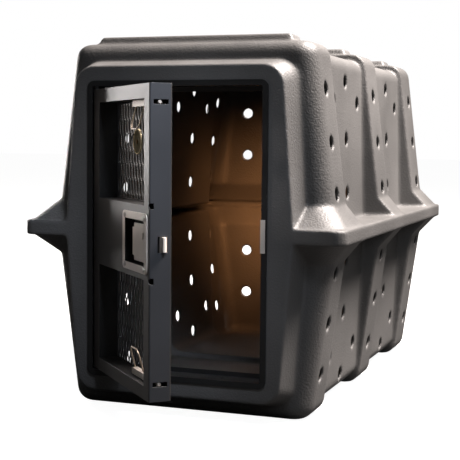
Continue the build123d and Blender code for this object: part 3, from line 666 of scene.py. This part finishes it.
def copy_of_node(node: str, name: str) -> bpy.types.Object:
    """Copies a CAD node's mesh into a piece of its own, with its loose triangles merged.

    Args:
        node: name of the CAD node.
        name: name of the new piece.

    Returns:
        The new piece, with its place in its mesh.
    """
    pick(frame["nodes"][node])
    bpy.ops.object.duplicate()
    piece = bpy.context.active_object
    piece.name = name
    bpy.ops.object.parent_clear(type="CLEAR_KEEP_TRANSFORM")
    settle(piece)
    bpy.ops.object.mode_set(mode="EDIT")
    bpy.ops.mesh.select_all(action="SELECT")
    bpy.ops.mesh.remove_doubles(threshold=MERGE_DISTANCE)
    done()
    return piece


def dress(obj: bpy.types.Object, material: bpy.types.Material) -> None:
    """Puts one material on the whole of an object.

    Args:
        obj: the piece or CAD node.
        material: its material.
    """
    if not obj.material_slots:
        obj.data.materials.append(material)
    for held in obj.material_slots:
        held.material = material


def paint_part(
    obj: bpy.types.Object, material: bpy.types.Material, wanted: Callable[[Vector, Vector], bool]
) -> None:
    """Puts a further material on some faces of a door piece.

    Args:
        obj: the piece.
        material: the further material.
        wanted: true for a face by its middle and normal, both in the door's own directions.
    """
    obj.data.materials.append(material)
    inward = door_place().inverted()
    turn = inward.to_3x3()
    for face in obj.data.polygons:
        if wanted(inward @ face.center, turn @ face.normal):
            face.material_index = len(obj.data.materials) - 1


def door_place() -> Matrix:
    """Finds the place of the open door.

    Returns:
        A place whose x runs from the hinge to the free edge, y into the cabin and z up.
    """
    joints = frame["record"]["behaviour"]["joints"]
    hinge = next(joint for joint in joints if joint["name"] == "door_hinge")
    x, y, _ = hinge["pos_m"]
    return Matrix.Translation((x, y, 0.0)) @ Matrix.Rotation(math.radians(hinge["range_deg"][0]), 4, "Z")


class Finishes:
    """Every material of the carrier, each built once."""

    def __init__(self) -> None:
        """Builds the materials from the shared effects."""
        effects = Effects()
        self.by_slot = {slot: finish.build(effects) for slot, finish in SLOT_FINISHES.items()}
        self.satin = SATIN_FINISH.build(effects)
        self.grille = GRILLE_FINISH.build(effects)
        self.rim = RIM_FINISH.build(effects)
        self.badge = BADGE_FINISH.build(effects)
        self.wire = WIRE_FINISH.build(effects)
        # painted shade inside the latch's dish
        self.dish = DISH_PAINTED_SHADE.build(effects)
        # painted shade on the walls inside the windows
        self.window_return = RETURN_PAINTED_SHADE.build(effects)
        # painted cool lamp light on the door's free edge
        self.door_edge = EDGE_PAINTED_LIGHT.build(effects)


@dataclass(frozen=True)
class Rounded:
    """A CAD node shown by a copy whose sharp edges are rounded off; edge is the rounding's width."""

    node: str
    name: str
    body: str
    slot: Slot
    edge: float
    segments: int = 2
    sharp_angle: float = 40.0
    flat_angle: float = 1.0
    face_weight: int = 50

    def build(self) -> bpy.types.Object:
        """Copies the node and rounds its edges.

        Returns:
            The new piece.
        """
        piece = copy_of_node(self.node, self.name)
        edit(piece)
        bpy.ops.mesh.select_all(action="SELECT")
        bpy.ops.mesh.dissolve_limited(angle_limit=math.radians(self.flat_angle))
        done()
        apply(piece, "BEVEL", width=self.edge, segments=self.segments, limit_method="ANGLE",
              angle_limit=math.radians(self.sharp_angle), use_clamp_overlap=True)
        shade(piece, self.sharp_angle)
        apply(piece, "WEIGHTED_NORMAL", weight=self.face_weight, keep_sharp=True)
        hand_over(piece, self.body, self.slot, self.node)
        return piece

    def dress(self, piece: bpy.types.Object, finishes: Finishes) -> None:
        """Gives a steel piece its satin face and any other piece its slot's finish."""
        dress(piece, finishes.satin if self.slot is Slot.STEEL else finishes.by_slot[self.slot])


@dataclass(frozen=True)
class DoorPaintedShadeAndLight:
    """The faces of the door and latch that get painted shade (dish, window returns) and painted cool light
    (free edge), found by their place in the door.
    """

    dish_front: float = -0.0060
    return_front: float = -0.0055
    return_left: float = 0.034
    return_right: float = 0.304
    edge_start: float = 0.3275
    side_on: float = 0.5
    edge_on: float = 0.8

    def dress(self, finishes: Finishes) -> None:
        """Paints shade into the latch's dish and the windows' returns, and paints cool lamp light onto the
        door's free edge.
        """
        panel = bpy.data.objects["door_panel"]
        paint_part(bpy.data.objects["latch_dish"], finishes.dish, self._in_dish)
        paint_part(panel, finishes.window_return, self._on_return)
        paint_part(panel, finishes.door_edge, self._on_free_edge)

    def _in_dish(self, middle: Vector, normal: Vector) -> bool:
        """True for a face behind the latch's flange, which gets the painted shade."""
        return middle.y > self.dish_front

    def _on_return(self, middle: Vector, normal: Vector) -> bool:
        """True for a wall inside a window, which gets the painted shade."""
        inside = middle.y > self.return_front and self.return_left < middle.x < self.return_right
        return inside and abs(normal.y) < self.side_on

    def _on_free_edge(self, middle: Vector, normal: Vector) -> bool:
        """True for the face that the bolts come out of, which gets the painted cool light."""
        return middle.x > self.edge_start and normal.x > self.edge_on


@dataclass
class Grille:
    """A sheet of expanded metal in a window of the door, with its clamped border.

    Places are in the door's own directions. Each set's strands are a pitch apart and swing by sway to each
    side, once to and fro in two half_waves. bond is how long they stay together where they meet.
    """

    name: str
    node: str
    bottom: float
    top: float
    left: float = 0.036
    right: float = 0.302
    front: float = 0.0286
    thickness: float = 0.002
    border: float = 0.0085
    overlap: float = 0.002
    pitch: float = 0.016
    half_wave: float = 0.027
    sway: float = 0.0030
    bond: float = 1.7
    strand_width: float = 0.0023
    strand_thickness: float = 0.0010
    strand_tilt: float = 20.0
    steps: int = 8

    def build(self) -> bpy.types.Object:
        """Weaves the strands and adds the border.

        Returns:
            The grille.
        """
        piece = join((self._strands(), self._border()), self.name)
        settle(piece, door_place())
        shade(piece, NEW_PIECE_ANGLE)
        hand_over(piece, "door", Slot.FRAME, self.node)
        return piece

    def dress(self, piece: bpy.types.Object, finishes: Finishes) -> None:
        """Paints the grille."""
        dress(piece, finishes.grille)

    def _strands(self) -> bpy.types.Object:
        """Repeats one strand over the window, staggers a second set and cuts the sheet to the window.

        Returns:
            The woven sheet without its border.
        """
        strand = self._strand()
        width = self.right - self.left - 2 * self.overlap
        columns = int(width / self.pitch)
        strand.location = ((width - columns * self.pitch) / 2, 0.0, 0.0)
        settle(strand)
        apply(strand, "ARRAY", count=columns + 1, use_relative_offset=False, use_constant_offset=True,
              constant_offset_displace=(self.pitch, 0.0, 0.0))
        edit(strand)
        bpy.ops.mesh.select_all(action="SELECT")
        bpy.ops.mesh.duplicate_move(TRANSFORM_OT_translate={"value": (self.pitch / 2, 0.0, self.half_wave)})
        low, high, side = self.bottom - self.overlap, self.top + self.overlap, self.right + self.overlap
        for point, facing, below in (
            ((0.0, 0.0, low), (0.0, 0.0, 1.0), True),
            ((0.0, 0.0, high), (0.0, 0.0, 1.0), False),
            ((side, 0.0, 0.0), (1.0, 0.0, 0.0), False),
        ):
            bpy.ops.mesh.select_all(action="SELECT")
            bpy.ops.mesh.bisect(
                plane_co=point, plane_no=facing, use_fill=True, clear_inner=below, clear_outer=not below)
        done()
        return strand

    def _strand(self) -> bpy.types.Object:
        """Extrudes one wavy strand upwards, step by step, past both ends of the window.

        Returns:
            The strand, at the window's left side.
        """
        rise = self.half_wave / self.steps
        count = math.ceil((self.top - self.bottom + 4 * self.half_wave) / rise)
        start = (self.bottom + self.top) / 2 - math.ceil(count / 2) * rise
        first = self.left + self.overlap + self.sway
        deselect()
        bpy.ops.mesh.primitive_plane_add(size=1.0, location=(first, self.front + self.thickness / 2, start))
        strand = bpy.context.active_object
        strand.scale = (self.strand_width, self.strand_thickness, 1.0)
        strand.rotation_euler = (0.0, 0.0, math.radians(self.strand_tilt))
        settle(strand)
        edit(strand)
        bpy.ops.mesh.select_all(action="SELECT")
        for step in range(count):
            across = self._swing((step + 1) * rise) - self._swing(step * rise)
            bpy.ops.mesh.extrude_region_move(TRANSFORM_OT_translate={"value": (across, 0.0, rise)})
        bpy.ops.mesh.select_all(action="SELECT")
        bpy.ops.mesh.normals_make_consistent(inside=False)
        done()
        return strand

    def _swing(self, along: float) -> float:
        """Returns how far a strand stands from its middle line at this length along it."""
        return self.sway * max(-1.0, min(1.0, self.bond * math.cos(math.pi * along / self.half_wave)))

    def _border(self) -> bpy.types.Object:
        """Cuts the plain border that the door's back skin clamps.

        Returns:
            The border.
        """
        wide = self.right - self.left + 2 * self.border
        tall = self.top - self.bottom + 2 * self.border
        deselect()
        bpy.ops.mesh.primitive_plane_add(
            size=1.0, location=((self.left + self.right) / 2, self.front, (self.bottom + self.top) / 2),
            rotation=(math.radians(90.0), 0.0, 0.0))
        border = bpy.context.active_object
        border.scale = (wide, tall, 1.0)
        settle(border)
        edit(border)
        bpy.ops.mesh.select_all(action="SELECT")
        bpy.ops.mesh.inset(thickness=self.border + self.overlap)
        bpy.ops.mesh.delete(type="FACE")
        done()
        apply(border, "SOLIDIFY", thickness=self.thickness, offset=-1.0)
        return border


@dataclass
class Screws:
    """Equal screw heads with a cross recess, modelled once and copied."""

    name: str
    node: str
    body: str
    places: tuple[tuple[float, float, float], ...]
    facing: tuple[tuple[float, float, float], ...]
    radius: float
    height: float
    slot: Slot
    on_door: bool = False
    sides: int = 24
    dome: float = 0.45
    dome_ring: float = 0.3
    dome_top: float = 0.3
    recess_width: float = 0.22
    recess_length: float = 1.15

    def build(self) -> bpy.types.Object:
        """Makes the first head and sets a copy at each place.

        Returns:
            All the heads as one piece.
        """
        master = self._head()
        heads = []
        for place, facing in zip(self.places, self.facing):
            pick(master)
            bpy.ops.object.duplicate()
            head = bpy.context.active_object
            head.rotation_mode = "QUATERNION"
            head.rotation_quaternion = Vector(facing).to_track_quat("Z", "X")
            head.location = place
            settle(head)
            heads.append(head)
        bpy.data.objects.remove(master)
        piece = join(heads, self.name)
        settle(piece, door_place() if self.on_door else None)
        shade(piece, NEW_PIECE_ANGLE)
        hand_over(piece, self.body, self.slot, self.node)
        return piece

    def dress(self, piece: bpy.types.Object, finishes: Finishes) -> None:
        """Gives the heads their slot's finish."""
        dress(piece, finishes.by_slot[self.slot])

    def _head(self) -> bpy.types.Object:
        """Models one head at the origin, looking up, with its cross recess.

        Returns:
            The head.
        """
        deselect()
        bpy.ops.mesh.primitive_cylinder_add(
            vertices=self.sides, radius=self.radius, depth=self.height, location=(0.0, 0.0, self.height / 2))
        head = bpy.context.active_object
        settle(head)
        edit(head, "EDGE")
        select_faces(head, lambda face: face.normal.z > 0.9)
        for rise in (1.0, self.dome_top):
            bpy.ops.mesh.inset(thickness=self.radius * self.dome_ring, depth=self.height * self.dome * rise)
        done()
        cutters = []
        for turn in (0.0, 90.0):
            deselect()
            bpy.ops.mesh.primitive_cube_add(size=1.0, location=(0.0, 0.0, self.height * (1 + self.dome)))
            cutter = bpy.context.active_object
            cutter.scale = (self.radius * self.recess_length, self.radius * self.recess_width, self.height)
            cutter.rotation_euler = (0.0, 0.0, math.radians(turn))
            settle(cutter)
            cutters.append(cutter)
        for cutter in cutters:
            apply(head, "BOOLEAN", operation="DIFFERENCE", object=cutter, solver="EXACT")
            bpy.data.objects.remove(cutter)
        return head


@dataclass
class Badge:
    """A blank round badge: a painted disc in a bright raised rim.

    Places are in the door's own directions. Each of the disc's rings is a share of its radius and a height.
    """

    across: float = 0.165
    height: float = 0.522
    front: float = 0.0256
    radius: float = 0.023
    thickness: float = 0.003
    rim: float = 0.0024
    sunk: float = 0.0012
    sides: int = 72
    edge: float = 0.0003
    sharp_angle: float = 40.0
    rings: tuple[tuple[float, float], ...] = ((0.22, 0.0), (0.05, -0.0004), (0.30, 0.0), (0.05, 0.0005))

    def build(self) -> tuple[bpy.types.Object, bpy.types.Object]:
        """Makes the rim and the disc and returns both."""
        return self._turned("badge_rim", True), self._turned("badge_disc", False)

    def dress(self, rim: bpy.types.Object, disc: bpy.types.Object, finishes: Finishes) -> None:
        """Gives the rim its bright metal and the disc its paint."""
        dress(rim, finishes.rim)
        dress(disc, finishes.badge)

    def _turned(self, name: str, rim: bool) -> bpy.types.Object:
        """Turns the rim, or the disc inside it, from a cylinder.

        Args:
            name: name of the piece.
            rim: true for the rim.

        Returns:
            The piece.
        """
        radius = self.radius if rim else self.radius - self.rim
        deep = self.thickness if rim else self.thickness - self.sunk
        deselect()
        bpy.ops.mesh.primitive_cylinder_add(
            vertices=self.sides, radius=radius, depth=deep, rotation=(math.radians(90.0), 0.0, 0.0),
            location=(self.across, self.front + self.thickness - deep / 2, self.height))
        piece = bpy.context.active_object
        piece.name = name
        settle(piece)
        edit(piece)
        if rim:
            select_faces(piece, lambda face: abs(face.normal.y) > 0.9)
            bpy.ops.mesh.inset(thickness=self.rim, use_individual=True)
            bpy.ops.mesh.bridge_edge_loops()
        else:
            select_faces(piece, lambda face: face.normal.y < -0.9)
            for share, depth in self.rings:
                bpy.ops.mesh.inset(thickness=radius * share, depth=depth)
        done()
        apply(piece, "BEVEL", width=self.edge, segments=2, limit_method="ANGLE",
              angle_limit=math.radians(self.sharp_angle))
        settle(piece, door_place())
        shade(piece, NEW_PIECE_ANGLE)
        hand_over(piece, "door", Slot.BRASS, *(("badge",) if rim else ()))
        return piece


@dataclass
class Shell:
    """The one-piece moulded shell, with the soft edges that the mould leaves."""

    grain_size: float = 0.003
    rounding_passes: int = 9
    rounding: float = 0.5
    most_triangles: int = 185000
    sharp_angle: float = 60.0

    def build(self) -> Optional[bpy.types.Object]:
        piece = copy_of_node("shell", "moulded_shell")
        apply(piece, "REMESH", mode="VOXEL", voxel_size=self.grain_size)
        apply(piece, "SMOOTH", factor=self.rounding, iterations=self.rounding_passes)
        triangles = 2 * len(piece.data.polygons)
        apply(piece, "DECIMATE", ratio=min(1.0, self.most_triangles / triangles))
        shade(piece, self.sharp_angle)
        hand_over(piece, "carrier", Slot.SHELL, "shell")
        return piece

    def dress(self, piece: bpy.types.Object, finishes: Finishes) -> None:
        """Gives the shell its moulded plastic."""
        dress(piece, finishes.by_slot[Slot.SHELL])


def jamb_screws() -> Screws:
    """Lays out the countersunk screws in the doorway's jambs, sill and head.

    Returns:
        The screws, not yet built.
    """
    heights, across = (0.150, 0.277, 0.431, 0.560), (-0.09, 0.09)
    half_doorway, sill, head, middle, sunk = 0.170, 0.082, 0.625, -0.4755, 0.0012
    places = [(side * (half_doorway + sunk), middle, z) for side in (-1, 1) for z in heights]
    facing = [(-side, 0.0, 0.0) for side in (-1, 1) for _ in heights]
    places += [(x, middle, z) for z in (sill - sunk, head + sunk) for x in across]
    facing += [(0.0, 0.0, turn) for turn in (1.0, -1.0) for _ in across]
    return Screws(
        "frame_screw_heads", "frame_screws", "carrier", tuple(places), tuple(facing),
        radius=0.0044, height=0.0008, slot=Slot.FRAME)


def latch_screws() -> Screws:
    """Lays out the four screws in the corners of the latch.

    Returns:
        The screws, not yet built.
    """
    across, front, height, half_wide, half_tall = 0.255, -0.0084, 0.352, 0.053, 0.043
    places = tuple(
        (across + side * half_wide, front, height + end * half_tall) for side in (-1, 1) for end in (-1, 1))
    return Screws(
        "latch_screw_heads", "latch_screws", "door", places, ((0.0, -1.0, 0.0),) * len(places),
        radius=0.0045, height=0.0013, slot=Slot.STEEL, on_door=True)


ROUNDED = (
    Rounded("door_shell", "door_panel", "door", Slot.DOOR, 0.0008),
    Rounded("door_back_skin", "door_inner_sheet", "door", Slot.DOOR, 0.0004),
    Rounded("door_frame", "doorway_frame", "carrier", Slot.FRAME, 0.0006),
    Rounded("latch_pan", "latch_dish", "door", Slot.STEEL, 0.0005),
    Rounded("paddle", "latch_paddle", "paddle", Slot.STEEL, 0.0006),
    Rounded("latch_bolt", "door_bolt", "latch_bolt", Slot.STEEL, 0.0006),
    Rounded("strike_plate", "strike", "carrier", Slot.STEEL, 0.0003),
    Rounded("lower_slide_bolt", "lower_slide", "lower_slide", Slot.STEEL, 0.0006),
    Rounded("upper_slide_bolt", "upper_slide", "upper_slide", Slot.STEEL, 0.0006),
)
GRILLES = (
    Grille("lower_grille", "lower_mesh", bottom=0.1115, top=0.291),
    Grille("upper_grille", "upper_mesh", bottom=0.416, top=0.594),
)


def dress_nodes(finishes: Finishes) -> None:
    """Gives every CAD node the finish of its slot, and the pull loops their wire.

    Args:
        finishes: the carrier's materials.
    """
    slots = {part["node"]: Slot(part["material_slot"]) for part in frame["record"]["subparts"]}
    for name, node in frame["nodes"].items():
        dress(node, finishes.by_slot[slots[name]])
    for name in ("upper_pull_loop", "lower_pull_loop"):
        dress(frame["nodes"][name], finishes.wire)


def build_pieces(finishes: Finishes) -> None:
    """Builds and dresses each new piece in order, and reports it.

    Args:
        finishes: the carrier's materials.
    """
    for maker in (*ROUNDED, *GRILLES, jamb_screws(), latch_screws()):
        maker.dress(maker.build(), finishes)
        log.info("built %s", maker.name)
    badge = Badge()
    badge.dress(*badge.build(), finishes)
    log.info("built the badge")
    shell = Shell()
    piece = shell.build()
    if piece is not None:
        shell.dress(piece, finishes)
        triangles = sum(len(face.vertices) - 2 for face in piece.data.polygons)
        log.info("rounded the shell to %d triangles", triangles)
    # painted shade in the dish and window returns, painted cool light on the door's free edge
    DoorPaintedShadeAndLight().dress(finishes)
    log.info("painted the door's edge, window returns and dish")


def main() -> None:
    """Builds the scene."""
    logging.basicConfig(level=logging.INFO, format="%(name)s: %(message)s")
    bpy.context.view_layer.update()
    finishes = Finishes()
    dress_nodes(finishes)
    build_pieces(finishes)
    CameraRig().build()
    Studio().build()
    log.info("placed the camera and the studio")


if __name__ == "__main__":
    main()
